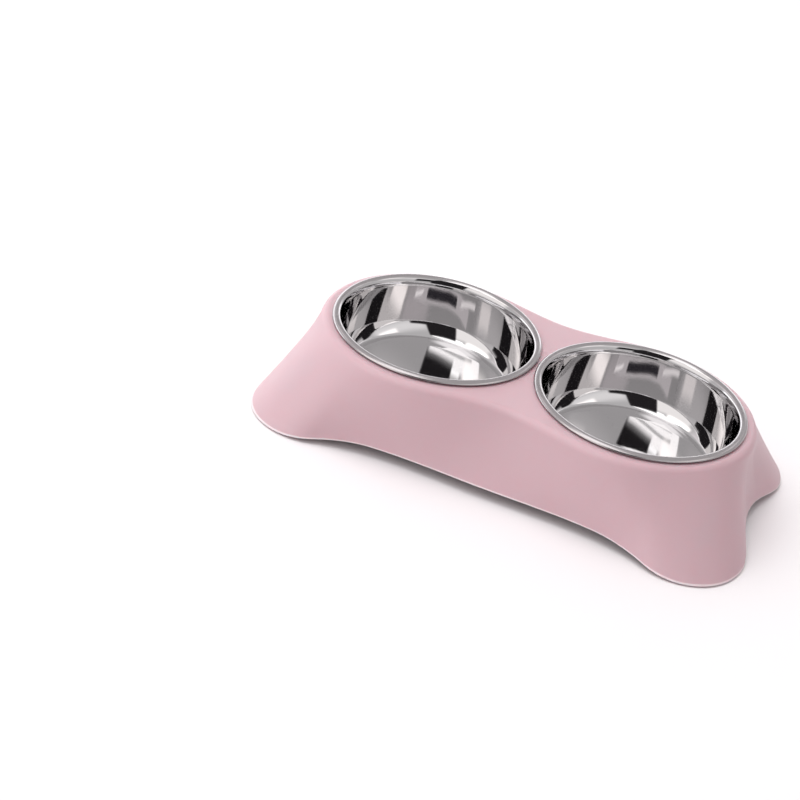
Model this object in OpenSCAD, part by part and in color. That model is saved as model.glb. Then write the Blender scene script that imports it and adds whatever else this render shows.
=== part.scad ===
// Double pet bowl: one moulded stand on four rubber pads, and two steel bowls that lift out.
// Millimetres, +Z up. The origin is on the floor, under the middle of the stand.
// +X runs along the row of bowls, -Y is the front.

/* [Bowls] */
// Outer radius of a bowl's rolled rim
rim_r = 65; // [55:1:75]
// Width of the rolled rim, from the mouth to its outer edge
rim_w = 5.5; // [4:0.5:8]
// Thickness of the steel sheet
steel_t = 0.7; // [0.5:0.1:1.2]
// Inside depth of a bowl, from the top of its rim to its flat bottom
bowl_depth = 38.5; // [30:0.5:44]
// Distance that the wall draws in by, from the mouth to the foot of its cove
bowl_taper = 2.5; // [1:0.1:8]
// Radius of the cove between the flat bottom and the wall
cove_r = 9.5; // [5:0.5:12]
// Gap between the rims of the two bowls
rim_gap = 1.2; // [0.6:0.1:6]

/* [Stand top] */
// Height of the flat top above the floor
plate_h = 53; // [48:1:75]
// Wall thickness of the moulded shell
wall_t = 2; // [1.4:0.1:2.6]
// Width of plastic that shows outside a rim before the edge rounds over
plate_margin = 2; // [1:0.5:8]
// Depth that the top is drawn in by at its waist, between the bowls
waist_in = 10.7; // [4:0.2:20]
// Outer radius of the rounded edge between the top and the skirt
edge_r = 4.6; // [3.4:0.1:7]

/* [Seats] */
// Clearance between a bowl's wall and the opening it hangs in
seat_clearance = 0.8; // [0.4:0.1:2]
// Gap between the rolled rim and the top that it rests on
rim_clearance = 0.3; // [0.1:0.1:0.8]
// Thickness of the collar that stiffens the edge of an opening
collar_t = 2; // [1:0.1:2.4]
// Depth of that collar, from the flat top down
collar_h = 6; // [3:0.5:12]

/* [Skirt and legs] */
// Distance that the skirt spreads by at the middle of a long side
side_flare = 20.4; // [14:0.1:30]
// Distance that the skirt spreads by at the middle of an end
end_flare = 13.3; // [9:0.1:24]
// Distance from a bowl's centre to a leg's centre, along the stand
leg_reach_x = 53.2; // [44:0.1:64]
// Distance from the stand's centre line to a leg's centre
leg_reach_y = 52.8; // [44:0.1:62]
// Radius of a leg's round outline at its foot
leg_r = 36.4; // [30:0.1:42]
// Angle that a leg's round outline runs past straight sideways, towards the middle
leg_side_turn = 25; // [10:0.5:40]
// Angle at which a leg's round outline stops short of straight along the stand
leg_end_turn = 22.5; // [5:0.5:40]
// Reach of the straight pull at both ends of a long side's curve
side_pull = 32; // [15:1:45]
// Reach of the straight pull at both ends of an end's curve
end_pull = 28; // [12:1:36]
// Height of the arch under a long side, above the legs' edge
side_arch_h = 5.8; // [4.8:0.1:12]
// Height of the arch under an end, above the legs' edge
end_arch_h = 6.5; // [5:0.1:12]
// Length of level edge from a leg's middle to the start of a long side's arch
side_lead = 2; // [0:1:20]
// Length over which a long side's arch rises
side_rise = 63; // [40:1:80]
// Length of level edge from a leg's middle to the start of an end's arch
end_lead = 37; // [10:1:37]
// Length over which an end's arch rises
end_rise = 59; // [30:1:59]
// Extra steepness of the skirt's top at the middles of the four sides, in degrees
side_lean = 21; // [8:0.5:24]
// Extra steepness of the skirt's top on the legs, in degrees
leg_lean = 4; // [0:0.5:12]
// Share of the skirt's height that its steep upper part takes
steep_share = 0.3; // [0.2:0.01:0.45]

/* [Feet] */
// Radius of a rubber pad
pad_r = 7; // [5:0.5:9]
// Depth that a pad sits in its post
pad_seat = 1.6; // [1:0.1:3]
// Height that the pads stand below the stand's edge
pad_drop = 0.8; // [0.6:0.1:3]
// Radius of the stem that holds a pad
stem_r = 2.5; // [1.5:0.1:3.5]
// Length of that stem above the pad
stem_l = 5; // [3:0.5:8]
// Wall of the post round a pad
post_t = 1.8; // [1.2:0.1:3]
// Distance from a leg's outer edge in to the middle of its post, along the diagonal
post_inset = 24.4; // [20:0.1:28]
// Clearance round a pad and its stem
pad_clearance = 0.15; // [0.1:0.05:0.4]
// Depth that a stem's hole runs past the stem
stem_room = 1; // [0.5:0.5:3]

/* [Colours] */
// Moulded plastic of the stand
stand_colour = "#DDBFC6";
// Polished steel of the bowls
steel_colour = "#C9C8C7";
// Rubber of the pads
pad_colour = "#8E8A8B";

/* [Hidden] */
$fn = 96;

// Overrun of a cut past the face that it leaves
cut = 1;
// Steps along a quarter of the outline, and down the rounded edge and the skirt
side_steps = 12;
leg_steps = 12;
end_steps = 8;
edge_steps = 4;
skirt_steps = 7;
stations = edge_steps + skirt_steps;
// How the skirt's lines fan out from the top to the legs, as shares of the way round a quarter
fan_share = 0.17;
fan_gain_share = 0.4;

// Places along the stand
half_pitch = rim_r + rim_gap / 2;
plate_r = rim_r + plate_margin;
waist_w = plate_r - waist_in;
mid_w = waist_w + side_flare;
mid_l = half_pitch + plate_r + end_flare;
leg_c = [half_pitch + leg_reach_x, -leg_reach_y];

// Bowl sizes
roll_r = rim_w / 2;
mouth_r = rim_r - rim_w;
bottom_r = mouth_r - bowl_taper - cove_r;
rim_z = plate_h + rim_clearance;
bowl_floor_z = rim_z + roll_r - bowl_depth;
seat_r = mouth_r + steel_t + seat_clearance;

// Feet sizes
post_r = pad_r + pad_clearance + post_t;
post_at = leg_c + (leg_r - post_inset) * [cos(45), -sin(45)];

function smooth(t) = let (c = min(max(t, 0), 1)) c * c * (3 - 2 * c);
function heading(a) = [cos(a), sin(a)];
function bezier(p, q, r, s, t) =
    pow(1 - t, 3) * p + 3 * t * pow(1 - t, 2) * q + 3 * t * t * (1 - t) * r + pow(t, 3) * s;

// A quarter of the skirt's lower outline, from the middle of the front to the middle of an end:
// a drawn-in long side, a round leg and an end
leg_from = -90 - leg_side_turn;
leg_to = -leg_end_turn;
leg_start = leg_c + leg_r * heading(leg_from);
leg_stop = leg_c + leg_r * heading(leg_to);
front_mid = [0, -mid_w];
end_mid = [mid_l, 0];
quarter = concat(
    [for (i = [0:side_steps]) bezier(front_mid, front_mid + [side_pull, 0],
        leg_start - side_pull * heading(leg_from + 90), leg_start, i / side_steps)],
    [for (i = [1:leg_steps]) leg_c + leg_r * heading(leg_from + (leg_to - leg_from) * i / leg_steps)],
    [for (i = [1:end_steps]) bezier(leg_stop, leg_stop + end_pull * heading(leg_to + 90),
        end_mid - [0, end_pull], end_mid, i / end_steps)]
);
last = len(quarter) - 1;

// Length run along that outline to each of its points
function run_to(i) = i == 0 ? 0 : run_to(i - 1) + norm(quarter[i] - quarter[i - 1]);
run = [for (i = [0:last]) run_to(i)];
leg_mid_run = run[side_steps + leg_steps / 2];

// Height of the lower edge: level on the legs, arched between them
edge_z = [for (s = run) pad_drop + (s < leg_mid_run
    ? side_arch_h * smooth((leg_mid_run - s - side_lead) / side_rise)
    : end_arch_h * smooth((s - leg_mid_run - end_lead) / end_rise))];

// Outline of the flat top at a share q of the way round a quarter: a waist, then a round end
waist_share = half_pitch / (half_pitch + plate_r * PI / 2);
function top_at(q) = q < waist_share
    ? [half_pitch * q / waist_share, -waist_w - waist_in * smooth(q / waist_share)]
    : let (a = 90 * (q - waist_share) / (1 - waist_share))
      [half_pitch + plate_r * sin(a), -plate_r * cos(a)];
function fanned(v) = v + v * (1 - v) * (fan_share + fan_gain_share * v);
top_edge = [for (s = run) top_at(fanned(s / run[last]))];

// Directions in which the two outlines face
function facing(line, i) = i == 0 ? [0, -1] : i == last ? [1, 0]
    : let (d = line[i + 1] - line[i - 1]) [d[1], -d[0]] / norm(d);
top_out = [for (i = [0:last]) facing(top_edge, i)];
low_out = [for (i = [0:last]) facing(quarter, i)];

// Slope of the skirt where the rounded edge ends, steeper than the straight line to the lower edge
leg_weight = [for (s = run)
    pow(sin(90 * (s < leg_mid_run ? s / leg_mid_run : (run[last] - s) / (run[last] - leg_mid_run))), 2)];
steep = [for (i = [0:last]) min(90, atan2(plate_h - edge_z[i], (quarter[i] - top_edge[i]) * top_out[i])
    + side_lean + (leg_lean - side_lean) * leg_weight[i])];

// A point of the rounded edge, where it has turned by the angle a from the flat top
function edge_at(i, a, inset) = concat(top_edge[i] + (edge_r - inset) * sin(a) * top_out[i],
    plate_h - edge_r + (edge_r - inset) * cos(a));

// The skirt curves from there to the lower edge, steep at first and then spreading. A surface that
// lies inset from the outer one is drawn in level, by more where the skirt slopes more
function skirt_bend(i) = let (a = steep[i], from = edge_at(i, a, 0), to = concat(quarter[i], edge_z[i]),
    reach = steep_share * norm(to - from))
    [from, from + reach * concat(cos(a) * top_out[i], -sin(a)), to];
function skirt_at(i, u, inset) = let (b = skirt_bend(i),
    p = (1 - u) * (1 - u) * b[0] + 2 * u * (1 - u) * b[1] + u * u * b[2],
    d = (1 - u) * (b[1] - b[0]) + u * (b[2] - b[1]),
    way = (1 - u) * top_out[i] + u * low_out[i], out = way / norm(way),
    level = [d[0], d[1]] * out)
    p + inset * norm([level, d[2]]) / d[2] * concat(out, 0);
function surface_at(i, k, inset) = k <= edge_steps
    ? edge_at(i, steep[i] * k / edge_steps, inset)
    : skirt_at(i, (k - edge_steps) / skirt_steps, inset);

// A whole ring of the surface, from its quarter
function turned(p, x, y) = [x * p[0], y * p[1], p[2]];
function ring(k, inset) = let (q = [for (i = [0:last]) surface_at(i, k, inset)]) concat(
    q,
    [for (i = [1:last]) turned(q[last - i], 1, -1)],
    [for (i = [1:last]) turned(q[i], -1, -1)],
    [for (i = [1:last - 1]) turned(q[last - i], -1, 1)]
);
around = 4 * last;
function band(k) = [for (i = [0:around - 1]) let (a = k * around, j = (i + 1) % around)
    each [[a + i, a + j, a + around + j], [a + i, a + around + j, a + around + i]]];

// Rings that run down the outside and up the inside make the closed thin shell
module shell() {
    rings = concat(
        [for (k = [0:stations]) ring(k, 0)],
        [for (k = [0:stations]) ring(stations - k, wall_t)]
    );
    inmost = len(rings) - 1;
    hub = (inmost + 1) * around;
    polyhedron(concat([for (r = rings) each r], [[0, 0, plate_h], [0, 0, plate_h - wall_t]]), concat(
        [for (i = [0:around - 1]) [(i + 1) % around, i, hub]],
        [for (k = [0:inmost - 1]) each band(k)],
        [for (i = [0:around - 1]) [inmost * around + i, inmost * around + (i + 1) % around, hub + 1]]
    ));
}

// Everything inside the middle of the shell's wall, down to below the floor
module core() {
    rings = [for (k = [0:stations]) ring(k, wall_t / 2)];
    low = (stations + 1) * around;
    brim = stations * around;
    polyhedron(concat([for (r = rings) each r], [[0, 0, -plate_h], [0, 0, plate_h - wall_t / 2]]), concat(
        [for (i = [0:around - 1]) [(i + 1) % around, i, low + 1]],
        [for (k = [0:stations - 1]) each band(k)],
        [for (i = [0:around - 1]) [brim + i, brim + (i + 1) % around, low]]
    ));
}

module at_posts() {
    for (x = [-1, 1], y = [-1, 1]) translate([x * post_at[0], y * post_at[1], 0]) children();
}

module at_seats() {
    for (x = [-1, 1]) translate([x * half_pitch, 0, 0]) children();
}

module stand() {
    color(stand_colour) difference() {
        union() {
            shell();
            at_seats() translate([0, 0, plate_h - collar_h])
                cylinder(r = seat_r + collar_t, h = collar_h - wall_t / 2);
            intersection() {
                core();
                at_posts() translate([0, 0, pad_drop]) cylinder(r = post_r, h = plate_h);
            }
        }
        at_seats() translate([0, 0, plate_h - collar_h - cut]) cylinder(r = seat_r, h = collar_h + 2 * cut);
        at_posts() {
            translate([0, 0, pad_drop - cut]) cylinder(r = pad_r + pad_clearance, h = pad_seat + cut);
            translate([0, 0, pad_drop]) cylinder(r = stem_r + pad_clearance, h = pad_seat + stem_l + stem_room);
        }
    }
}

// The space inside a bowl's surface that lies grow outside its inner one, as half a section
module bowl_space(grow) {
    c = [bottom_r, bowl_floor_z + cove_r];
    lip = [mouth_r + grow, rim_z];
    r = cove_r + grow;
    a = atan2(lip[1] - c[1], lip[0] - c[0]) - acos(r / norm(lip - c));
    polygon([[0, c[1] - r], [c[0], c[1] - r], c + r * heading(a), lip, [0, rim_z]]);
    intersection() {
        translate(c) circle(r);
        translate([c[0], c[1] - r]) square([r, r + r * sin(a)]);
    }
}

// A drawn bowl whose rim is rolled over, outwards and down
module bowl() {
    rotate_extrude() {
        difference() {
            bowl_space(steel_t);
            bowl_space(0);
        }
        translate([rim_r - roll_r, rim_z]) difference() {
            circle(roll_r);
            circle(roll_r - steel_t);
            translate([-rim_w, -rim_w]) square([2 * rim_w, rim_w]);
        }
    }
}

module bowl_left() {
    color(steel_colour) translate([-half_pitch, 0, 0]) bowl();
}

module bowl_right() {
    color(steel_colour) translate([half_pitch, 0, 0]) bowl();
}

// A rubber pad with the stem that holds it in its post
module foot(x, y) {
    color(pad_colour) translate([x * post_at[0], y * -post_at[1], 0]) {
        cylinder(r = pad_r, h = pad_drop + pad_seat);
        cylinder(r = stem_r, h = pad_drop + pad_seat + stem_l);
    }
}

module foot_front_left() { foot(-1, -1); }
module foot_front_right() { foot(1, -1); }
module foot_rear_left() { foot(-1, 1); }
module foot_rear_right() { foot(1, 1); }

stand();
bowl_left();
bowl_right();
foot_front_left();
foot_front_right();
foot_rear_left();
foot_rear_right();
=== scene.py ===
"""The looks of the double pet bowl: a moulded stand, two polished steel bowls and four rubber pads.

Lengths in the classes are millimetres, and the meshes are metres in the frame's own axes: +X along the row
of bowls, -Y to the front, +Z up. The overall sizes are read from the frame.
"""

from __future__ import annotations

import logging
import math
from dataclasses import dataclass
from enum import Enum

import bmesh
import bpy
import numpy as np
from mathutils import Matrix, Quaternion, Vector

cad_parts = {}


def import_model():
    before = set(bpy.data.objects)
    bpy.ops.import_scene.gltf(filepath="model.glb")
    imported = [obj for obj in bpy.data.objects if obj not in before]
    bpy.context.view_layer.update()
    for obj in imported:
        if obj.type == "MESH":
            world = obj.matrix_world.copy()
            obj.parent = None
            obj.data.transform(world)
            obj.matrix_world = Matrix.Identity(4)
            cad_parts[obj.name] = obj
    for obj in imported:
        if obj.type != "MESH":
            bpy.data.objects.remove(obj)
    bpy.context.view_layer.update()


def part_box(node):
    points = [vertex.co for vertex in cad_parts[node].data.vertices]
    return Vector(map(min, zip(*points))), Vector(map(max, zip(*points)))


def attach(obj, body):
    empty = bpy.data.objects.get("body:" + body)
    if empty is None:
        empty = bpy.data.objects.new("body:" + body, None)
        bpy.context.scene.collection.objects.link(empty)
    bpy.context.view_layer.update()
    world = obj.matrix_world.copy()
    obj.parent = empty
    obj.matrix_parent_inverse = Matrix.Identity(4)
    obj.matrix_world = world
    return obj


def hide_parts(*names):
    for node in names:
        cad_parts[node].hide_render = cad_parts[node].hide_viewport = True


Array = np.ndarray
Colour = tuple[float, float, float]
Pair = tuple[float, float]
Point = tuple[float, float, float]

LOG = logging.getLogger("double_pet_bowl")
MM = 0.001  # a millimetre, in metres
WELD = 2e-7  # points nearer than this, in metres, are joined
PAINTED_HIGHLIGHT = "edge"  # the attribute that picks out the stand's lower edge, where a lighter tone is painted on as a highlight
FADE = "fade"  # the attribute that thins a card out
TINY = 0.001  # a length in millimetres that doesn't count
QUARTER = math.pi / 2
ROUND_POINTS = 5  # points of a small rounding


class Side(Enum):
    """The two bowls, with the sign of their place along the row."""

    LEFT = -1
    RIGHT = 1

    @property
    def node(self) -> str:
        """Name of this bowl's node and body."""
        return f"bowl_{self.name.lower()}"


class Corner(Enum):
    """The four legs, with the signs of their place along and across the stand."""

    FRONT_LEFT = (-1, -1)
    FRONT_RIGHT = (1, -1)
    REAR_LEFT = (-1, 1)
    REAR_RIGHT = (1, 1)

    @property
    def node(self) -> str:
        """Name of the pad under this leg."""
        return f"foot_{self.name.lower()}"


class Slot(Enum):
    """The material slots of the record."""

    PLASTIC = "stand_plastic"
    STEEL = "bowl_steel"
    RUBBER = "pad_rubber"


def smooth_step(t: Array) -> Array:
    """Return 0 below 0 and 1 above 1, with an even curve between.

    Args:
        t: Values to ease.

    Returns:
        The eased values, from 0 to 1.
    """
    c = np.clip(t, 0.0, 1.0)
    return c * c * (3.0 - 2.0 * c)


def unit(v: Array) -> Array:
    """Return the vectors scaled to length 1 along their last axis."""
    return v / np.linalg.norm(v, axis=-1, keepdims=True)


def heading(angle: float) -> Array:
    """Return the unit vector at an angle in degrees, in the plane."""
    a = math.radians(angle)
    return np.array([math.cos(a), math.sin(a)])


def bezier(points: tuple[Array, Array, Array, Array], t: Array) -> Array:
    """Return points along a cubic curve.

    Args:
        points: The start, its pull, the end's pull and the end.
        t: Shares of the way along, from 0 to 1.

    Returns:
        One row for each share.
    """
    p, q, r, s = (np.asarray(point, float) for point in points)
    u = t[:, None]
    return (1 - u) ** 3 * p + 3 * u * (1 - u) ** 2 * q + 3 * u**2 * (1 - u) * r + u**3 * s


def arc(centre: Pair, radius: float, start: float, stop: float, count: int = ROUND_POINTS) -> Array:
    """Return points of a circle in the plane.

    Args:
        centre: The circle's centre.
        radius: Its radius.
        start: Angle of the first point in degrees.
        stop: Angle of the last point in degrees.
        count: Number of points.

    Returns:
        One row of two coordinates for each point.
    """
    a = np.radians(np.linspace(start, stop, count))
    return np.asarray(centre, float) + radius * np.stack([np.cos(a), np.sin(a)], -1)


def facing(line: Array) -> Array:
    """Return the outward directions of a quarter outline that runs from the front to an end.

    Args:
        line: Points of the outline, one row each.

    Returns:
        Unit vectors to the right of the way along it, square to the symmetry planes at both ends.
    """
    along = np.gradient(line, axis=0)
    out = unit(np.stack([along[:, 1], -along[:, 0]], -1))
    out[0], out[-1] = (0.0, -1.0), (1.0, 0.0)
    return out


def grid_faces(rows: int, columns: int, start: int, closed: bool = False) -> Array:
    """Return the quads of a grid of points.

    Args:
        rows: Number of rows.
        columns: Number of columns.
        start: Index of the grid's first point.
        closed: Whether the last column joins the first one.

    Returns:
        Four point indices for each face.
    """
    index = np.arange(rows * columns).reshape(rows, columns) + start
    if closed:
        index = np.concatenate([index, index[:, :1]], axis=1)
    a, b, c, d = index[:-1, :-1], index[:-1, 1:], index[1:, 1:], index[1:, :-1]
    return np.stack([a, b, c, d], -1).reshape(-1, 4)


def add_object(data: bpy.types.ID) -> bpy.types.Object:
    """Add an object to the scene, named after its data.

    Args:
        data: Its mesh, light or camera.

    Returns:
        The object.
    """
    made = bpy.data.objects.new(data.name, data)
    bpy.context.scene.collection.objects.link(made)
    return made


def point_at(thing: bpy.types.Object, place: Point, aim: Point, roll: float = 0.0) -> None:
    """Place a light or the camera and point it.

    Args:
        thing: The object.
        place: Its place in metres.
        aim: The point it looks at.
        roll: Its turn about its own axis in degrees.
    """
    aimed = (Vector(aim) - Vector(place)).to_track_quat("-Z", "Y")
    thing.location = place
    thing.rotation_mode = "QUATERNION"
    thing.rotation_quaternion = aimed @ Quaternion((0, 0, 1), math.radians(roll))


def build_mesh(name: str, patches: list[tuple[Array, bool]], edge_rows: tuple[int, ...] = ()) -> bpy.types.Object:
    """Make one smooth object from grids of points in millimetres, welded where they meet.

    Args:
        name: Name of the object and its mesh.
        patches: Grids of points, rows by columns by three, each with whether its columns close.
        edge_rows: Rows of the tallest grids whose points get 1 in the attribute "edge", where a highlight is painted
            on, and all others 0.

    Returns:
        The object, at the origin, with its faces outwards.
    """
    points, faces, highlight_marks, start = [], [], [], 0
    tallest = max(grid.shape[0] for grid, _ in patches)
    for grid, closed in patches:
        rows, columns = grid.shape[:2]
        points.append(grid.reshape(-1, 3))
        highlight_marks.append(np.repeat(np.isin(np.arange(rows), edge_rows) * float(rows == tallest), columns))
        faces.append(grid_faces(rows, columns, start, closed))
        start += rows * columns
    mesh = bpy.data.meshes.new(name)
    mesh.from_pydata(np.concatenate(points) * MM, [], np.concatenate(faces).tolist())
    # the attribute says where the finish paints a lighter tone as a highlight
    if edge_rows:
        mesh.attributes.new(PAINTED_HIGHLIGHT, "FLOAT", "POINT").data.foreach_set("value", np.concatenate(highlight_marks))
    made = bmesh.new()
    made.from_mesh(mesh)
    bmesh.ops.remove_doubles(made, verts=made.verts, dist=WELD)
    bmesh.ops.dissolve_degenerate(made, edges=made.edges, dist=WELD)
    bmesh.ops.recalc_face_normals(made, faces=made.faces)
    made.to_mesh(mesh)
    made.free()
    mesh.polygons.foreach_set("use_smooth", np.ones(len(mesh.polygons), bool))
    mesh.update()
    return add_object(mesh)


def revolve(outline: Array, centre: Pair, columns: int) -> tuple[Array, bool]:
    """Turn an outline of radii and heights about an upright axis.

    Args:
        outline: Rows of radius and height.
        centre: Place of the axis.
        columns: Number of steps round.

    Returns:
        The grid of points, and that its columns close.
    """
    turn = np.linspace(0.0, 2 * math.pi, columns, endpoint=False)
    r, z = outline[:, :1], outline[:, 1:]
    x = centre[0] + r * np.cos(turn)
    y = centre[1] + r * np.sin(turn)
    return np.stack([x, y, np.broadcast_to(z, x.shape)], -1), True


def place_piece(piece: bpy.types.Object, material: bpy.types.Material, body: str, node: str) -> None:
    """Dress a finished piece, hang it on its body and hide the node that it replaces.

    Args:
        piece: The object.
        material: Its finish.
        body: The body that it rides on.
        node: The node that it replaces.
    """
    piece.data.materials.append(material)
    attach(piece, body)
    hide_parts(node)
    LOG.info("%s: %d faces, rides on %s", piece.name, len(piece.data.polygons), body)


@dataclass
class StandShell:
    """The one-piece moulded stand: flat top with two openings, rounded edge, flared skirt, four hollow legs.

    The skirt is ruled from the top's outline to the lower one: at each station a rounded edge rolls over
    until it is steep enough, and a quadratic curve runs from there to the lower edge, steep first and then
    spreading. The inner surface is the same one, drawn in by the wall. A pair of sizes is a long side's and an
    end's, save for the leg's reach, along and across the stand, and the lean, between the legs and on them.
    """

    rim_r: float
    half_pitch: float
    plate_h: float
    foot_z: float
    wall_t: float = 2.0
    plate_margin: float = 2.0
    waist_in: float = 10.7
    edge_r: float = 4.6
    seat_gap: float = 4.0
    seat_round: float = 0.8
    collar_t: float = 2.0
    collar_h: float = 6.0
    collar_round: float = 0.4
    side_flare: float = 20.4
    end_flare: float = 13.3
    leg_reach: Pair = (53.2, 52.8)
    leg_r: float = 36.4
    leg_turn: Pair = (25.0, 22.5)
    pull: Pair = (32.0, 28.0)
    arch_h: Pair = (5.8, 6.5)
    lead: Pair = (2.0, 37.0)
    rise: Pair = (63.0, 59.0)
    lean: Pair = (21.0, 4.0)
    steep_share: float = 0.3
    fan_share: float = 0.17
    fan_gain_share: float = 0.4
    lip_h: float = 0.9
    line_share: float = 0.5
    lip_square: float = 3.0
    post_inset: float = 24.4
    post_r: float = 8.95
    pocket_r: float = 7.15
    pocket_h: float = 1.6
    stem_hole_r: float = 2.65
    stem_hole_h: float = 7.6
    post_columns: int = 48
    post_cap: tuple[float, ...] = (1.0, 0.5, 0.0)
    nearest: int = 4
    sheet_shares: tuple[float, ...] = (0.0, 0.06, 0.3, 0.6, 0.85, 0.97, 1.0)
    steps: tuple[int, int, int] = (46, 44, 30)
    waist_steps: int = 28
    edge_rows: int = 12
    skirt_rows: int = 36
    lip_rows: int = 12

    def __post_init__(self) -> None:
        """Work out the two outlines and the slope of the skirt between them."""
        self.plate_r = self.rim_r + self.plate_margin
        self.seat_r = self.rim_r - self.seat_gap
        self.waist_w = self.plate_r - self.waist_in
        self.bowl_c = np.array([self.half_pitch, 0.0])
        self.leg_c = np.array([self.half_pitch + self.leg_reach[0], -self.leg_reach[1]])
        self.low, run, mid_run = self.lower_outline()
        self.low_z = self.lower_edge(run, mid_run)
        share = run / run[-1]
        self.top = self.top_outline(share + share * (1 - share) * (self.fan_share + self.fan_gain_share * share))
        self.top_out, self.low_out = facing(self.top), facing(self.low)
        part = np.where(run < mid_run, run / mid_run, (run[-1] - run) / (run[-1] - mid_run))
        lean = self.lean[0] + (self.lean[1] - self.lean[0]) * np.sin(QUARTER * part) ** 2
        spread = ((self.low - self.top) * self.top_out).sum(-1)
        fall = np.degrees(np.arctan2(self.plate_h - self.low_z, spread))
        self.steep = np.radians(np.minimum(90.0, fall + lean))

    def lower_outline(self) -> tuple[Array, Array, float]:
        """Return a quarter of the lower outline: a drawn-in long side, a round leg and an end.

        Returns:
            Its points, the length run to each, and the run at the middle of the leg.
        """
        side, leg, end = self.steps
        start, stop = -90.0 - self.leg_turn[0], -self.leg_turn[1]
        front_mid = np.array([0.0, -self.waist_w - self.side_flare])
        end_mid = np.array([self.half_pitch + self.plate_r + self.end_flare, 0.0])
        round_leg = arc(tuple(self.leg_c), self.leg_r, start, stop, leg + 1)
        side_line = bezier((front_mid, front_mid + [self.pull[0], 0.0],
                            round_leg[0] - self.pull[0] * heading(start + 90.0), round_leg[0]),
                           np.linspace(0, 1, side + 1))
        end_line = bezier((round_leg[-1], round_leg[-1] + self.pull[1] * heading(stop + 90.0),
                           end_mid - [0.0, self.pull[1]], end_mid), np.linspace(0, 1, end + 1))
        line = np.concatenate([side_line, round_leg[1:], end_line[1:]])
        run = np.concatenate([[0.0], np.cumsum(np.linalg.norm(np.diff(line, axis=0), axis=1))])
        return line, run, float(run[side + leg // 2])

    def lower_edge(self, run: Array, mid_run: float) -> Array:
        """Return the height of the lower edge: level on the legs and arched between them.

        Args:
            run: Length run along the lower outline.
            mid_run: That length at the middle of the leg.

        Returns:
            One height for each point.
        """
        side = self.arch_h[0] * smooth_step((mid_run - run - self.lead[0]) / self.rise[0])
        end = self.arch_h[1] * smooth_step((run - mid_run - self.lead[1]) / self.rise[1])
        return self.foot_z + np.where(run < mid_run, side, end)

    def top_outline(self, share: Array) -> Array:
        """Return a quarter of the flat top's outline: a waist between the bowls and a round end.

        Args:
            share: Shares of the way round the quarter, from 0 to 1.

        Returns:
            One point for each share.
        """
        waist = self.half_pitch / (self.half_pitch + self.plate_r * QUARTER)
        t = share / waist
        straight = np.stack([self.half_pitch * t, -self.waist_w - self.waist_in * smooth_step(t)], -1)
        a = QUARTER * (share - waist) / (1 - waist)
        turned = np.stack([self.half_pitch + self.plate_r * np.sin(a), -self.plate_r * np.cos(a)], -1)
        return np.where((share < waist)[:, None], straight, turned)

    def edge_at(self, angle: Array, inset: float) -> Array:
        """Return the rounded edge where it has turned by an angle from the flat top.

        Args:
            angle: Angles in radians, one for each station.
            inset: Distance inwards from the outer surface.

        Returns:
            One point for each station.
        """
        r = self.edge_r - inset
        level = self.top + r * np.sin(angle)[:, None] * self.top_out
        return np.concatenate([level, (self.plate_h - self.edge_r + r * np.cos(angle))[:, None]], -1)

    def skirt_at(self, u: float, inset: float) -> tuple[Array, Array]:
        """Return the skirt at a share of its height.

        Args:
            u: Share of the way down the curve, from 0 to 1.
            inset: Distance inwards from the outer surface.

        Returns:
            The points, and the direction of the curve there, one row for each station.
        """
        start = self.edge_at(self.steep, 0.0)
        stop = np.concatenate([self.low, self.low_z[:, None]], -1)
        reach = self.steep_share * np.linalg.norm(stop - start, axis=-1, keepdims=True)
        way = np.concatenate([np.cos(self.steep)[:, None] * self.top_out, -np.sin(self.steep)[:, None]], -1)
        bend = start + reach * way
        point = (1 - u) ** 2 * start + 2 * u * (1 - u) * bend + u**2 * stop
        slope = (1 - u) * (bend - start) + u * (stop - bend)
        out = unit((1 - u) * self.top_out + u * self.low_out)
        level = (slope[:, :2] * out).sum(-1)
        draw = inset * np.hypot(level, slope[:, 2]) / slope[:, 2]
        point[:, :2] += draw[:, None] * out
        return point, slope

    def skin(self, inset: float, stop: float = 1.0) -> Array:
        """Return one surface of the shell, from the edge of the flat top down.

        Args:
            inset: Distance inwards from the outer surface.
            stop: Share of the skirt's curve at which the surface ends.

        Returns:
            A grid, one row for each level and one column for each station.
        """
        turned = np.linspace(0.0, 1.0, self.edge_rows + 1)
        down = np.linspace(0.0, stop, self.skirt_rows + 1)[1:]
        down = np.insert(down, -1, stop - (1.0 - stop) * self.line_share)
        rolled = [self.edge_at(self.steep * share, inset) for share in turned]
        return np.stack(rolled + [self.skirt_at(float(u), inset)[0] for u in down])

    def lip(self, stop: float) -> Array:
        """Return the rounded lower edge, from the outer surface round to the inner one.

        The rows follow half a rounded square, which slides down along the skirt's own slope.

        Args:
            stop: Share of the skirt's curve at which the rounding starts.

        Returns:
            A grid, without its first and last rows.
        """
        outer, slope = self.skirt_at(stop, 0.0)
        inner, _ = self.skirt_at(stop, self.wall_t)
        middle, half = (outer + inner) / 2, (outer - inner) / 2
        depth = middle[:, 2] - self.low_z
        down = slope / -slope[:, 2:] * depth[:, None]
        a = np.linspace(0.0, math.pi, self.lip_rows + 1)[1:-1, None, None]
        power = 2.0 / self.lip_square
        across = np.sign(np.cos(a)) * np.abs(np.cos(a)) ** power
        return middle + half * across + down * np.abs(np.sin(a)) ** power

    def collar_rows(self) -> tuple[Array, Array]:
        """Return the collar's half section, from the flat top's edge to the underside.

        Returns:
            Radii and heights in order: down the opening, under the collar and up its outside.
        """
        top, foot = self.plate_h, self.plate_h - self.collar_h
        inner, outer, r = self.seat_r, self.seat_r + self.collar_t, self.collar_round
        under = self.plate_h - self.wall_t
        rows = np.concatenate([
            arc((inner + self.seat_round, top - self.seat_round), self.seat_round, 90, 180, ROUND_POINTS + 2),
            arc((inner + r, foot + r), r, 180, 270),
            arc((outer - r, foot + r), r, 270, 360),
            arc((outer + r, under - r), r, 180, 90),
        ])
        return rows[:, 0], rows[:, 1]

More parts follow.
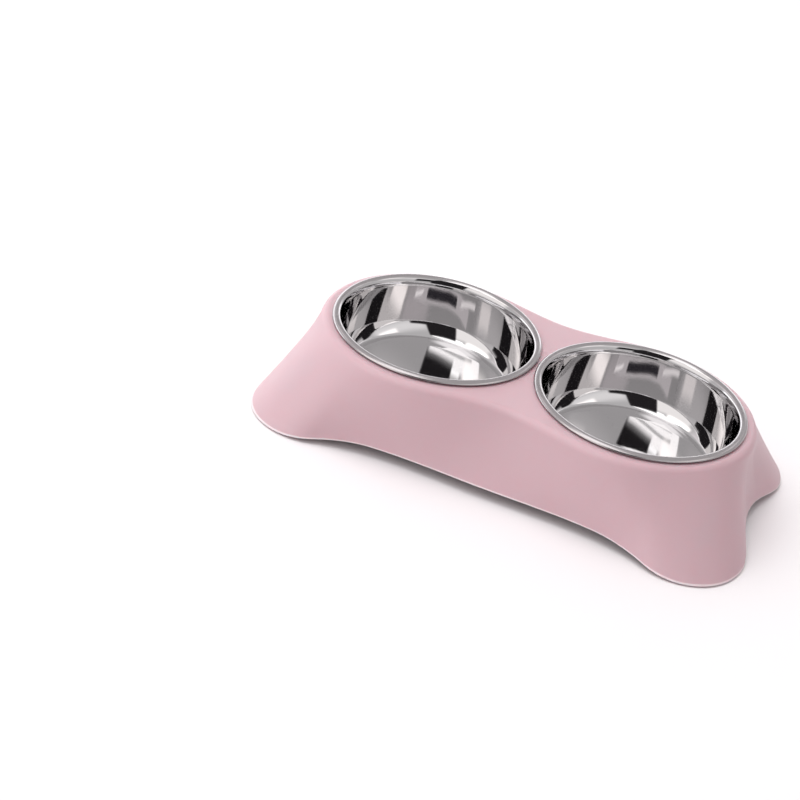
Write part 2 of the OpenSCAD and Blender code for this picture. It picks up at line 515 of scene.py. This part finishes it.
    def ruled(self, rim: Array, reach: float, height: float) -> Array:
        """Return a flat sheet between a bowl's circle and an outline, along rays from the bowl's centre.

        Args:
            rim: Outline points in the plane.
            reach: Radius of the circle.
            height: Height of the sheet.

        Returns:
            A grid, one row for each share of the way from the circle to the outline.
        """
        circle = self.bowl_c + reach * unit(rim - self.bowl_c)
        level = circle + np.array(self.sheet_shares)[:, None, None] * (rim - circle)
        return np.concatenate([level, np.full(level.shape[:2] + (1,), height)], -1)

    def collar(self, rim: Array) -> Array:
        """Return the collar's surface on the rays from the bowl's centre to an outline.

        Args:
            rim: Outline points in the plane.

        Returns:
            A grid, one row for each point of the collar's half section.
        """
        r, z = self.collar_rows()
        level = self.bowl_c + r[:, None, None] * unit(rim - self.bowl_c)
        return np.concatenate([level, np.broadcast_to(z[:, None, None], level.shape[:2] + (1,))], -1)

    def quarter(self) -> list[Array]:
        """Return the grids of the front right quarter, which meet along their edges."""
        stop = self.lip_start()
        outer, inner = self.skin(0.0, stop), self.skin(self.wall_t, stop)
        across = np.linspace(-self.waist_w, 0.0, self.waist_steps + 1)
        middle = np.stack([np.zeros_like(across), across], -1)
        r, _ = self.collar_rows()
        made = [np.concatenate([outer, self.lip(stop), inner[::-1]])]
        for rim in (self.top, middle):
            made += [self.ruled(rim, float(r[0]), self.plate_h), self.collar(rim),
                     self.ruled(rim, float(r[-1]), self.plate_h - self.wall_t)]
        return made

    def lip_start(self) -> float:
        """Return the share of the skirt's curve at which the lower edge starts to round."""
        near = 0.99
        high = self.skirt_at(near, 0.0)[0][:, 2] - self.low_z
        return 1.0 - (1.0 - near) * self.lip_h / float(high.mean())

    def wall_height(self, place: Array) -> Array:
        """Return the height of the middle of the skirt's wall over points in the front right quarter.

        Args:
            place: Points in the plane, one row each.

        Returns:
            The height of the wall's middle surface near each of them.
        """
        sheet = self.skin(self.wall_t / 2).reshape(-1, 3)
        far = ((place[:, None, :] - sheet[None, :, :2]) ** 2).sum(-1)
        near = np.argsort(far, axis=1)[:, :self.nearest]
        weight = 1.0 / (np.take_along_axis(far, near, 1) + TINY)
        return (sheet[near, 2] * weight).sum(1) / weight.sum(1)

    def post(self, corner: Corner) -> tuple[Array, bool]:
        """Return the round post inside a leg, with the pocket and the hole that hold its pad.

        Its closed top follows the middle of the skirt's wall.

        Args:
            corner: The leg.

        Returns:
            The grid of points, and that its columns close.
        """
        reach = (self.leg_r - self.post_inset) * math.sqrt(0.5)
        centre = self.leg_c + [reach, -reach]
        foot, r = self.foot_z, self.collar_round
        hole, pocket = foot + self.stem_hole_h, foot + self.pocket_h
        outline = np.concatenate([
            [[0.0, hole], [self.stem_hole_r - r, hole], [self.stem_hole_r, hole - r]],
            arc((self.stem_hole_r + r, pocket + r), r, 180, 270),
            [[self.pocket_r - r, pocket], [self.pocket_r, pocket - r]],
            arc((self.pocket_r + r, foot + r), r, 180, 270),
            arc((self.post_r - r, foot + r), r, 270, 360),
            [[self.post_r, hole]],
            [[self.post_r * share, self.plate_h] for share in self.post_cap],
        ])
        grid, closed = revolve(outline, (float(centre[0]), float(centre[1])), self.post_columns)
        cap = grid[-len(self.post_cap):]
        cap[..., 2] = self.wall_height(cap[..., :2].reshape(-1, 2)).reshape(cap.shape[:2])
        mirror = np.array([corner.value[0], -corner.value[1], 1.0])
        return grid * mirror, closed

    def build(self) -> bpy.types.Object:
        """Return the stand as one object: the shell's four quarters and the four posts."""
        quarter = self.quarter()
        patches = [(grid * [x, y, 1.0], False) for x in (1, -1) for y in (1, -1) for grid in quarter]
        patches += [self.post(corner) for corner in Corner]
        # the outer skin's last row and the lip's first two rows get the painted highlight along the lower edge
        last = self.edge_rows + self.skirt_rows + 1
        return build_mesh("stand_moulding", patches, (last, last + 1, last + 2))


@dataclass
class DrawnBowl:
    """A drawn steel bowl: flat bottom, leaning band, nearly upright wall and a rim that is rolled outwards.

    A tight corner joins the flat bottom to the band, and a tighter one the band to the wall. The leans are in
    degrees from upright: the band's and the wall's ease from the first to the second on the way up, and the
    wall flares softly into the roll of the rim. Drawing leaves shallow ripples in the wall, each given as its
    height, its waves round the bowl, its waves for each millimetre up the wall, and its turn.
    """

    side: Side
    centre: float
    rim_r: float
    rim_top: float
    rim_w: float = 5.5
    steel_t: float = 0.7
    depth: float = 38.5
    corner_r: float = 2.5
    band_r: float = 32.8
    kink_r: float = 1.5
    band_lean: Pair = (37.0, 22.0)
    lean: Pair = (8.0, 2.5)
    hem_r: float = 0.9
    hem_turn: float = 20.0
    flare_r: float = 13.0
    flare_lean: float = 24.0
    ripples: tuple[tuple[float, float, float, float], ...] = (
        (0.0024, 7.0, 0.035, 1.3),
        (0.0018, 12.0, -0.05, 0.4),
        (0.0010, 19.0, 0.075, 2.2),
    )
    flat_rows: int = 17
    corner_points: int = 12
    band_points: int = 16
    kink_points: int = 7
    wall_rows: int = 36
    roll_points: int = 28
    under_points: int = 18
    hem_points: int = 6
    columns: int = 320

    def __post_init__(self) -> None:
        """Work out the sizes that follow from the rim, and the middles of the section's curves."""
        self.roll_r = self.rim_w / 2
        self.mouth_r = self.rim_r - self.rim_w
        self.rim_z = self.rim_top - self.roll_r
        self.floor_z = self.rim_top - self.depth
        self.roll_c = (self.rim_r - self.roll_r, self.rim_z)
        self.flare_c = self.roll_c - (self.flare_r - self.roll_r) * heading(180.0 - self.flare_lean)
        low, high = self.band_lean
        curves = ((self.corner_r, 90.0, low), (self.band_r, low, high), (self.kink_r, high, self.lean[0]))
        self.wall_z = self.floor_z + sum(r * (heading(start)[1] - heading(stop)[1]) for r, start, stop in curves)
        self.wall_top = self.flare_c + self.flare_r * heading(180.0 - self.lean[1])
        inset = (self.wall_top[1] - self.wall_z) * math.tan(math.radians(sum(self.lean) / 2))
        self.wall_foot = np.array([self.wall_top[0] - inset, self.wall_z])
        self.kink_c = self.wall_foot - self.kink_r * heading(-self.lean[0])
        self.band_c = self.kink_c - (self.band_r - self.kink_r) * heading(-high)
        self.corner_c = self.band_c + (self.band_r - self.corner_r) * heading(-low)

    def side_rows(self, grow: float) -> Array:
        """Return the half section from the middle of the bottom to the mouth.

        Args:
            grow: Distance outwards from the inner surface.

        Returns:
            Rows of radius and height.
        """
        low, high = self.band_lean
        foot, head = self.lean
        reach = np.linspace(0.0, self.corner_c[0], self.flat_rows + 1)[:-1]
        flat = np.stack([reach, np.full(self.flat_rows, self.floor_z - grow)], -1)
        bends = [
            arc(self.corner_c, self.corner_r + grow, -90, -low, self.corner_points),
            arc(self.band_c, self.band_r + grow, -low, -high, self.band_points)[1:],
            arc(self.kink_c, self.kink_r + grow, -high, -foot, self.kink_points)[1:],
        ]
        flare = arc(self.flare_c, self.flare_r - grow, 180 - head, 180 - self.flare_lean, self.corner_points)
        leg = np.linalg.norm(self.wall_top - self.wall_foot) / (2 * math.cos(math.radians((foot - head) / 2)))
        bend = self.wall_foot + leg * heading(90 - foot)
        u = np.linspace(0, 1, self.wall_rows + 1)[1:-1, None]
        wall = (1 - u) ** 2 * self.wall_foot + 2 * u * (1 - u) * bend + u**2 * self.wall_top
        along = unit((1 - u) * (bend - self.wall_foot) + u * (self.wall_top - bend))
        return np.concatenate([flat, *bends, wall + grow * along[:, ::-1] * [1.0, -1.0], flare])

    def outline(self) -> Array:
        """Return the closed half section: up the inside, over the rolled rim, round its hem and back."""
        start = 180 - self.flare_lean
        over = arc(self.roll_c, self.roll_r, start, self.hem_turn, self.roll_points)
        hem_c = (self.rim_r - self.hem_r, self.rim_z + self.roll_r * math.sin(math.radians(self.hem_turn)))
        hem = arc(hem_c, self.hem_r / 2, 0, -90, self.hem_points)
        back = hem[::-1] + [-self.steel_t / 2, self.steel_t / 2]
        under = arc(self.roll_c, self.roll_r - self.steel_t, 1.5 * self.hem_turn, start, self.under_points)
        inside, outside = self.side_rows(0.0), self.side_rows(self.steel_t)
        return np.concatenate([inside[:-1], over, hem, back, under, outside[::-1][1:]])

    def rippled(self, grid: Array) -> Array:
        """Return the bowl's grid with its wall moved in and out by the ripples.

        The ripples fade out towards the band and the rim.

        Args:
            grid: Points of the bowl about its own axis.

        Returns:
            The moved points.
        """
        turn = np.arctan2(grid[..., 1], grid[..., 0])
        up = grid[..., 2] - self.wall_z
        share = np.clip(up / (self.rim_z - self.wall_z), 0.0, 1.0)
        reach = np.hypot(grid[..., 0], grid[..., 1])
        fade = smooth_step(4 * share * (1 - share)) * (reach < self.mouth_r + self.steel_t + TINY)
        push = sum(h * np.sin(n * turn + 2 * math.pi * waves * up + start) for h, n, waves, start in self.ripples)
        moved = grid.copy()
        moved[..., :2] *= 1.0 + (push * fade / np.maximum(reach, 1.0))[..., None]
        return moved

    def build(self) -> bpy.types.Object:
        """Return the bowl as one object."""
        grid, closed = revolve(self.outline(), (0.0, 0.0), self.columns)
        return build_mesh(f"{self.side.node}_drawn", [(self.rippled(grid) + [self.centre, 0.0, 0.0], closed)])


@dataclass
class RubberPad:
    """A rubber pad with round grooves in its sole and a stem in the leg's post.

    A groove's half widths, at its mouth and on its bed, are shares of the distance between grooves.
    """

    corner: Corner
    centre: Pair
    pad_r: float
    top_z: float
    pad_h: float = 2.4
    edge_r: float = 0.4
    stem_r: float = 2.5
    stem_round: float = 0.6
    groove_h: float = 0.35
    groove_half: Pair = (0.22, 0.12)
    grooves: int = 3
    columns: int = 64

    def outline(self) -> Array:
        """Return the half section, from the middle of the sole to the tip of the stem."""
        pitch = (self.pad_r - self.edge_r) / (self.grooves + 0.5)
        middles = pitch * (np.arange(self.grooves) + 0.5)
        mouth, bed = self.groove_half
        offsets = np.array([-mouth, -bed, bed, mouth]) * pitch
        depths = np.array([0.0, self.groove_h, self.groove_h, 0.0])
        sole = np.stack([(middles[:, None] + offsets).ravel(), np.tile(depths, self.grooves)], -1)
        side, tip, points = self.pad_r - self.edge_r, self.stem_round, ROUND_POINTS + 1
        return np.concatenate([
            [[0.0, 0.0]], sole,
            arc((side, self.edge_r), self.edge_r, -90, 0, points),
            arc((side, self.pad_h - self.edge_r), self.edge_r, 0, 90, points),
            [[self.stem_r, self.pad_h]],
            arc((self.stem_r - tip, self.top_z - tip), tip, 0, 90, points),
            [[0.0, self.top_z]],
        ])

    def build(self) -> bpy.types.Object:
        """Return the pad as one object."""
        return build_mesh(f"{self.corner.node}_pad", [revolve(self.outline(), self.centre, self.columns)])


def new_material(name: str) -> tuple[bpy.types.Material, bpy.types.Nodes, bpy.types.NodeLinks]:
    """Add a material that is made of nodes.

    Args:
        name: Its name.

    Returns:
        The material, its nodes and its links.
    """
    material = bpy.data.materials.new(name)
    material.use_nodes = True
    return material, material.node_tree.nodes, material.node_tree.links


def set_inputs(node: bpy.types.Node, **values: object) -> bpy.types.Node:
    """Set a node's inputs by name.

    Args:
        node: The node.
        values: Input values, with an underscore for each space in the input's name.

    Returns:
        The same node.
    """
    for name, value in values.items():
        node.inputs[name.replace("_", " ")].default_value = value
    return node


def add_node(nodes: bpy.types.Nodes, kind: str, **values: object) -> bpy.types.Node:
    """Add a node of a kind, such as "TexNoise", set its inputs by name and return it."""
    return set_inputs(nodes.new(f"ShaderNode{kind}"), **values)


def colour_mix(nodes: bpy.types.Nodes, links: bpy.types.NodeLinks, share: bpy.types.NodeSocket,
               tones: tuple[Colour, Colour]) -> bpy.types.Node:
    """Add a mix of two colours.

    Args:
        nodes: The material's nodes.
        links: The material's links.
        share: Socket with the share of the second colour.
        tones: The two colours.

    Returns:
        The node. Its inputs 6 and 7 are the colours, and its output 2 is the mix.
    """
    mix = nodes.new("ShaderNodeMix")
    mix.data_type = "RGBA"
    for index, tone in zip((6, 7), tones):
        mix.inputs[index].default_value = (*tone, 1.0)
    links.new(share, mix.inputs[0])
    return mix


def grain_group() -> bpy.types.ShaderNodeTree:
    """Build the group that gives a moulded surface its fine grain and slow drift of tone.

    Returns:
        The group. Its Colour is Tone, lighter or darker by Spread times the drift about its middle. Its Height
        and Drift are the grain and the slow noise.
    """
    tree = bpy.data.node_groups.new("moulding_grain", "ShaderNodeTree")
    for way, name, kind in (
        ("INPUT", "Vector", "Vector"), ("INPUT", "Grain Scale", "Float"), ("INPUT", "Drift Scale", "Float"),
        ("INPUT", "Tone", "Color"), ("INPUT", "Spread", "Float"),
        ("OUTPUT", "Colour", "Color"), ("OUTPUT", "Height", "Float"), ("OUTPUT", "Drift", "Float"),
    ):
        tree.interface.new_socket(name, in_out=way, socket_type=f"NodeSocket{kind}")
    nodes, links = tree.nodes, tree.links
    given, made = nodes.new("NodeGroupInput"), nodes.new("NodeGroupOutput")
    grain = add_node(nodes, "TexNoise", Detail=2.0, Roughness=0.55)
    drift = add_node(nodes, "TexNoise", Detail=3.0, Roughness=0.5)
    for noise, scale in ((grain, "Grain Scale"), (drift, "Drift Scale")):
        links.new(given.outputs["Vector"], noise.inputs["Vector"])
        links.new(given.outputs[scale], noise.inputs["Scale"])
    centred = nodes.new("ShaderNodeMath")
    centred.operation = "SUBTRACT"
    links.new(drift.outputs["Fac"], centred.inputs[0])
    centred.inputs[1].default_value = 0.5
    change = nodes.new("ShaderNodeMath")
    change.operation = "MULTIPLY_ADD"
    links.new(centred.outputs[0], change.inputs[0])
    links.new(given.outputs["Spread"], change.inputs[1])
    change.inputs[2].default_value = 1.0
    tinted = nodes.new("ShaderNodeVectorMath")
    tinted.operation = "SCALE"
    links.new(given.outputs["Tone"], tinted.inputs[0])
    links.new(change.outputs[0], tinted.inputs["Scale"])
    links.new(tinted.outputs[0], made.inputs["Colour"])
    links.new(grain.outputs["Fac"], made.inputs["Height"])
    links.new(drift.outputs["Fac"], made.inputs["Drift"])
    return tree


@dataclass(frozen=True)
class GrainFinish:
    """A surface with a fine grain: its colour, gloss, and the size and depth of the grain.

    The roughness goes from its first to its second value over the span of the drift. Depth and reach are in
    metres. Where the attribute "edge" is 1, the surface takes a lighter tone, painted on as a highlight.
    """

    name: str
    tone: Colour
    spread: float
    roughness: Pair
    grain_scale: float
    drift_scale: float
    grain_depth: float
    specular: float = 0.5
    sheen: float = 0.0
    glow: float = 0.0
    glow_spread: Colour = (1.0, 0.45, 0.5)
    glow_reach: float = 0.004
    drift_span: Pair = (0.3, 0.7)
    # a lighter tone painted on the lower edge as a highlight, or None
    painted_highlight_tone: Colour | None = None

    def material(self, group: bpy.types.ShaderNodeTree) -> bpy.types.Material:
        """Build the finish.

        Args:
            group: The grain group.

        Returns:
            The material.
        """
        material, nodes, links = new_material(self.name)
        shader = set_inputs(
            nodes["Principled BSDF"], Specular_IOR_Level=self.specular, Sheen_Weight=self.sheen,
            Subsurface_Weight=self.glow, Subsurface_Radius=self.glow_spread, Subsurface_Scale=self.glow_reach)
        place, grain = nodes.new("ShaderNodeTexCoord"), nodes.new("ShaderNodeGroup")
        grain.node_tree = group
        set_inputs(grain, Grain_Scale=self.grain_scale, Drift_Scale=self.drift_scale,
                   Tone=(*self.tone, 1.0), Spread=self.spread)
        links.new(place.outputs["Object"], grain.inputs["Vector"])
        colour = grain.outputs["Colour"]
        # paint the lighter highlight tone where the attribute "edge" is 1, along the stand's lower edge
        if self.painted_highlight_tone:
            highlight_mark = nodes.new("ShaderNodeAttribute")
            highlight_mark.attribute_name = PAINTED_HIGHLIGHT
            mix = colour_mix(nodes, links, highlight_mark.outputs["Fac"], (self.tone, self.painted_highlight_tone))
            links.new(colour, mix.inputs[6])
            colour = mix.outputs[2]
        links.new(colour, shader.inputs["Base Color"])
        gloss = add_node(nodes, "MapRange", From_Min=self.drift_span[0], From_Max=self.drift_span[1],
                         To_Min=self.roughness[0], To_Max=self.roughness[1])
        links.new(grain.outputs["Drift"], gloss.inputs["Value"])
        links.new(gloss.outputs["Result"], shader.inputs["Roughness"])
        bump = add_node(nodes, "Bump", Strength=1.0, Distance=self.grain_depth)
        links.new(grain.outputs["Height"], bump.inputs["Height"])
        links.new(bump.outputs["Normal"], shader.inputs["Normal"])
        return material


@dataclass(frozen=True)
class PolishedSteel:
    """Mirror-polished drawn steel with faint polishing rings about the bowl's axis, and a duller rim.

    The finish changes to the rim's between two radii, in millimetres. The rings' depth is in metres.
    """

    name: str
    centre: float
    rim: Pair
    tone: Colour = (0.7, 0.69, 0.693)
    roughness: Pair = (0.03, 0.05)
    rim_tone: Colour = (0.5, 0.475, 0.48)
    rim_roughness: float = 0.22
    ring_scale: float = 900.0
    ring_depth: float = 2e-7

    def material(self) -> bpy.types.Material:
        """Build the finish, centred on the bowl's own axis."""
        material, nodes, links = new_material(self.name)
        shader = set_inputs(nodes["Principled BSDF"], Metallic=1.0)
        place = nodes.new("ShaderNodeTexCoord")
        centred = add_node(nodes, "Mapping", Location=(-self.centre * MM, 0.0, 0.0))
        links.new(place.outputs["Object"], centred.inputs["Vector"])
        apart, level = nodes.new("ShaderNodeSeparateXYZ"), nodes.new("ShaderNodeCombineXYZ")
        links.new(centred.outputs["Vector"], apart.inputs[0])
        for axis in "XY":
            links.new(apart.outputs[axis], level.inputs[axis])
        radius = nodes.new("ShaderNodeVectorMath")
        radius.operation = "LENGTH"
        links.new(level.outputs[0], radius.inputs[0])
        line = nodes.new("ShaderNodeCombineXYZ")
        links.new(radius.outputs["Value"], line.inputs["X"])
        links.new(apart.outputs["Z"], line.inputs["Y"])
        rings = add_node(nodes, "TexNoise", Scale=self.ring_scale, Detail=2.0)
        links.new(line.outputs[0], rings.inputs["Vector"])
        gloss = add_node(nodes, "MapRange", To_Min=self.roughness[0], To_Max=self.roughness[1])
        links.new(rings.outputs["Fac"], gloss.inputs["Value"])
        rim = {"From_Min": self.rim[0] * MM, "From_Max": self.rim[1] * MM}
        satin = add_node(nodes, "MapRange", To_Max=self.rim_roughness, **rim)
        satin.interpolation_type = "SMOOTHSTEP"
        links.new(radius.outputs["Value"], satin.inputs["Value"])
        links.new(gloss.outputs["Result"], satin.inputs["To Min"])
        links.new(satin.outputs["Result"], shader.inputs["Roughness"])
        ring = add_node(nodes, "MapRange", **rim)
        links.new(radius.outputs["Value"], ring.inputs["Value"])
        dulled = colour_mix(nodes, links, ring.outputs["Result"], (self.tone, self.rim_tone))
        links.new(dulled.outputs[2], shader.inputs["Base Color"])
        bump = add_node(nodes, "Bump", Distance=self.ring_depth)
        links.new(rings.outputs["Fac"], bump.inputs["Height"])
        links.new(bump.outputs["Normal"], shader.inputs["Normal"])
        return material


# the plastic's lighter edge colour is a highlight painted along the stand's lower edge
PLASTIC_FINISH = GrainFinish(
    name="satin_pink_plastic", tone=(0.64, 0.435, 0.472), spread=0.03, roughness=(0.42, 0.5), grain_scale=2600.0,
    drift_scale=22.0, grain_depth=3e-6, specular=0.6, sheen=0.1, glow=0.4, painted_highlight_tone=(0.92, 0.76, 0.78))
RUBBER_FINISH = GrainFinish(
    name="grey_rubber", tone=(0.27, 0.25, 0.26), spread=0.12, roughness=(0.7, 0.85), grain_scale=1800.0,
    drift_scale=90.0, grain_depth=2e-5, specular=0.35)


@dataclass(frozen=True)
class Card:
    """A bright or dark card of the studio: a patch of a sphere round the object, with soft edges.

    The angles are in degrees: azimuth from +X, and height above the level plane through the room's middle.
    A slanted card rises with the azimuth, by its slant less its sag for each degree from its middle.
    """

    name: str
    azimuth: float
    half_width: float
    low: float
    high: float
    light: Colour
    soft: float = 4.0
    slant: float = 0.0
    sag: float = 0.0
    rows: int = 25
    columns: int = 61

    def build(self, radius: float, height: float, lean: float) -> bpy.types.Object:
        """Return the card, which only mirror images show.

        The mask is one inside the patch and eases to nothing over the soft edge.

        Args:
            radius: Radius of the sphere in metres.
            height: Height of the sphere's middle in metres.
            lean: Angle in degrees by which the room leans to the left.

        Returns:
            The card's object.
        """
        level = np.linspace(self.low - self.soft, min(self.high + self.soft, 90.0), self.rows)
        reach = min(self.half_width + self.soft, 180.0)
        turn = np.linspace(-reach, reach, self.columns)
        rise = (self.slant - self.sag * turn) * turn
        e, a = np.radians(level[:, None] + rise), np.radians(turn + self.azimuth)
        x, z = np.cos(e) * np.cos(a), np.sin(e)
        c, s = math.cos(math.radians(lean)), math.sin(math.radians(lean))
        grid = np.stack([c * x - s * z, np.cos(e) * np.sin(a), s * x + c * z], -1) * radius
        beside = (self.half_width + self.soft - np.abs(turn)) / (2 * self.soft)
        inside = np.minimum(level - self.low, self.high - level) / (2 * self.soft) + 0.5
        mask = smooth_step(inside)[:, None] * smooth_step(beside)
        mesh = bpy.data.meshes.new(self.name)
        faces = grid_faces(self.rows, self.columns, 0)
        mesh.from_pydata(grid.reshape(-1, 3) + [0.0, 0.0, height], [], faces.tolist())
        mesh.attributes.new(FADE, "FLOAT", "POINT").data.foreach_set("value", mask.ravel())
        mesh.materials.append(self.material())
        card = add_object(mesh)
        card.visible_camera = card.visible_diffuse = card.visible_shadow = False
        return card

    def material(self) -> bpy.types.Material:
        """Return the card's glow, which its mask thins out to nothing."""
        material, nodes, links = new_material(self.name)
        nodes.clear()
        mask = nodes.new("ShaderNodeAttribute")
        mask.attribute_name = FADE
        glow = add_node(nodes, "Emission", Color=(*self.light, 1.0))
        mix = nodes.new("ShaderNodeMixShader")
        links.new(mask.outputs["Fac"], mix.inputs["Fac"])
        links.new(nodes.new("ShaderNodeBsdfTransparent").outputs[0], mix.inputs[1])
        links.new(glow.outputs[0], mix.inputs[2])
        links.new(mix.outputs[0], nodes.new("ShaderNodeOutputMaterial").inputs["Surface"])
        return material


@dataclass
class Studio:
    """The plain studio: a pale floor, a room that the steel mirrors, a soft light and the camera.

    The sky lights matte surfaces, from the left and from the right. Each card lies just inside the one before.
    Lengths are in metres and angles in degrees.
    """

    room: Colour = (0.6, 0.588, 0.594)
    backdrop: Colour = (1.0, 1.0, 1.0)
    sky: tuple[Colour, Colour] = ((1.38, 1.37, 1.39), (0.27, 0.21, 0.22))
    floor_tone: Colour = (0.98, 0.974, 0.975)
    floor_roughness: float = 0.6
    floor_specular: float = 0.2
    floor_size: float = 6.0
    room_radius: float = 2.6
    room_height: float = 0.03
    room_lean: float = 14.0
    layer_share: float = 0.01
    light_place: Point = (-0.5, 0.1, 1.5)
    light_size: float = 1.2
    light_watts: float = 9.0
    camera_place: Point = (0.19933, -0.98121, 0.61939)
    camera_aim: Point = (-0.066, -0.0481, 0.0265)
    camera_roll: float = 11.7286
    focal_mm: float = 85.924
    sensor_mm: float = 36.0
    cards: tuple[Card, ...] = (
        Card("ceiling", 0.0, 200.0, 78.0, 100.0, (1.6, 1.57, 1.58), 4.0),
        Card("rear_left_grey", 165.0, 34.0, 34.0, 52.0, (0.88, 0.83, 0.85), 9.0),
        Card("right_grey", -22.0, 36.0, 4.0, 25.0, (0.95, 0.93, 0.935), 8.0),
        Card("left_grey", -120.0, 30.0, 12.0, 40.0, (1.15, 1.11, 1.1), 5.0),
        Card("front_softbox", -99.0, 40.0, 43.4, 90.0, (1.9, 1.87, 1.87), 1.2, -0.158),
        Card("softbox_gap_low", -88.0, 36.0, 46.2, 47.2, (0.6, 0.6, 0.6), 0.5, -0.158),
        Card("softbox_gap_high", -88.0, 36.0, 49.4, 50.0, (0.8, 0.8, 0.8), 0.4, -0.158),
        Card("left_strip", -134.0, 22.0, 39.5, 50.0, (2.35, 2.25, 2.2), 4.0),
        Card("low_front_dark", -66.0, 28.0, 4.5, 17.5, (0.02, 0.018, 0.02), 2.0, -0.27),
        Card("tall_front_dark", -76.0, 19.0, -10.0, 42.0, (0.02, 0.018, 0.02), 1.5, -0.158),
        Card("front_catch", -101.0, 6.0, 42.0, 44.5, (2.05, 2.05, 2.05), 1.2, -0.158),
        Card("right_strip", -4.0, 13.0, 15.0, 24.0, (1.6, 1.54, 1.52), 3.0),
        Card("window_frame", 106.0, 70.0, 35.4, 42.0, (1.05, 1.0, 1.02), 0.8, 0.218, 0.00103),
        Card("window", 104.0, 37.0, 36.4, 40.0, (0.05, 0.045, 0.055), 0.7, 0.218, 0.00103),
        Card("window_tip_left", 164.0, 11.0, 46.0, 47.6, (1.9, 1.85, 1.85), 0.8),
        Card("window_tip_right", 40.0, 17.0, 23.0, 25.0, (1.7, 1.65, 1.65), 0.8, 0.13),
        Card("left_rear_low", 150.0, 34.0, 4.0, 26.0, (2.0, 2.0, 2.05), 4.0),
        Card("rear_low", 108.0, 32.0, -2.0, 19.0, (2.1, 2.1, 2.15), 4.0),
    )

    def build_world(self) -> None:
        """Give the scene its light: stronger from the left on matte surfaces, a grey room in mirrors."""
        world = bpy.data.worlds.new("studio_room")
        world.use_nodes = True
        bpy.context.scene.world = world
        nodes, links = world.node_tree.nodes, world.node_tree.links
        way, apart = nodes.new("ShaderNodeTexCoord"), nodes.new("ShaderNodeSeparateXYZ")
        links.new(way.outputs["Generated"], apart.inputs[0])
        across = add_node(nodes, "MapRange", From_Min=-1.0, From_Max=1.0)
        links.new(apart.outputs["X"], across.inputs["Value"])
        path = nodes.new("ShaderNodeLightPath")
        seen = add_node(nodes, "Background", Color=(*self.sky[0], 1.0)).outputs[0]
        for share, light in (
            (across.outputs["Result"], self.sky[1]),
            (path.outputs["Is Glossy Ray"], self.room),
            (path.outputs["Is Camera Ray"], self.backdrop),
        ):
            other, mix = add_node(nodes, "Background", Color=(*light, 1.0)), nodes.new("ShaderNodeMixShader")
            links.new(share, mix.inputs["Fac"])
            links.new(seen, mix.inputs[1])
            links.new(other.outputs[0], mix.inputs[2])
            seen = mix.outputs[0]
        links.new(seen, nodes["World Output"].inputs["Surface"])

    def build_floor(self) -> None:
        """Lay the pale floor that the object stands on."""
        half = self.floor_size / 2
        mesh = bpy.data.meshes.new("studio_floor")
        mesh.from_pydata([(-half, -half, 0), (half, -half, 0), (half, half, 0), (-half, half, 0)], [], [(0, 1, 2, 3)])
        floor = add_object(mesh)
        material, nodes, _ = new_material("pale_floor")
        set_inputs(nodes["Principled BSDF"], Base_Color=(*self.floor_tone, 1.0), Roughness=self.floor_roughness,
                   Specular_IOR_Level=self.floor_specular)
        mesh.materials.append(material)

    def build_light(self) -> None:
        """Hang the soft square light, which points at the object and isn't mirrored."""
        data = bpy.data.lights.new("overhead_soft", "AREA")
        data.size = self.light_size
        data.energy = self.light_watts
        light = add_object(data)
        point_at(light, self.light_place, (0.0, 0.0, 0.0))
        light.visible_glossy = False

    def build_camera(self) -> None:
        """Set the camera where the photograph was taken from."""
        data = bpy.data.cameras.new("photo_camera")
        data.lens = self.focal_mm
        data.sensor_width = self.sensor_mm
        camera = add_object(data)
        point_at(camera, self.camera_place, self.camera_aim, self.camera_roll)
        bpy.context.scene.camera = camera

    def build(self) -> None:
        """Build the whole studio."""
        self.build_camera()
        self.build_floor()
        self.build_world()
        for layer, card in enumerate(self.cards):
            card.build(self.room_radius * (1.0 - self.layer_share * layer), self.room_height, self.room_lean)
        self.build_light()
        bpy.context.scene.view_settings.view_transform = "Standard"


def main() -> None:
    """Build every sub-assembly in order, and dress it."""
    logging.basicConfig(level=logging.INFO, format="%(name)s: %(message)s")
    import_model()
    Studio().build()
    stand_low, stand_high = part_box("stand")
    bowl_low, bowl_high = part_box(Side.RIGHT.node)
    rim_r = (bowl_high.x - bowl_low.x) / 2 / MM
    half_pitch = (bowl_high.x + bowl_low.x) / 2 / MM
    grain = grain_group()
    stand = StandShell(rim_r, half_pitch, stand_high.z / MM, stand_low.z / MM)
    place_piece(stand.build(), PLASTIC_FINISH.material(grain), "stand", "stand")
    for side in Side:
        centre = side.value * half_pitch
        bowl = DrawnBowl(side, centre, rim_r, bowl_high.z / MM)
        steel = PolishedSteel(f"{side.node}_polished_steel", centre, (bowl.mouth_r, bowl.mouth_r + bowl.rim_w / 4))
        place_piece(bowl.build(), steel.material(), side.node, side.node)
    rubber = RUBBER_FINISH.material(grain)
    for corner in Corner:
        low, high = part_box(corner.node)
        middle = ((low.x + high.x) / 2 / MM, (low.y + high.y) / 2 / MM)
        pad = RubberPad(corner, middle, (high.x - low.x) / 2 / MM, high.z / MM)
        place_piece(pad.build(), rubber, "stand", corner.node)


if __name__ == "__main__":
    main()
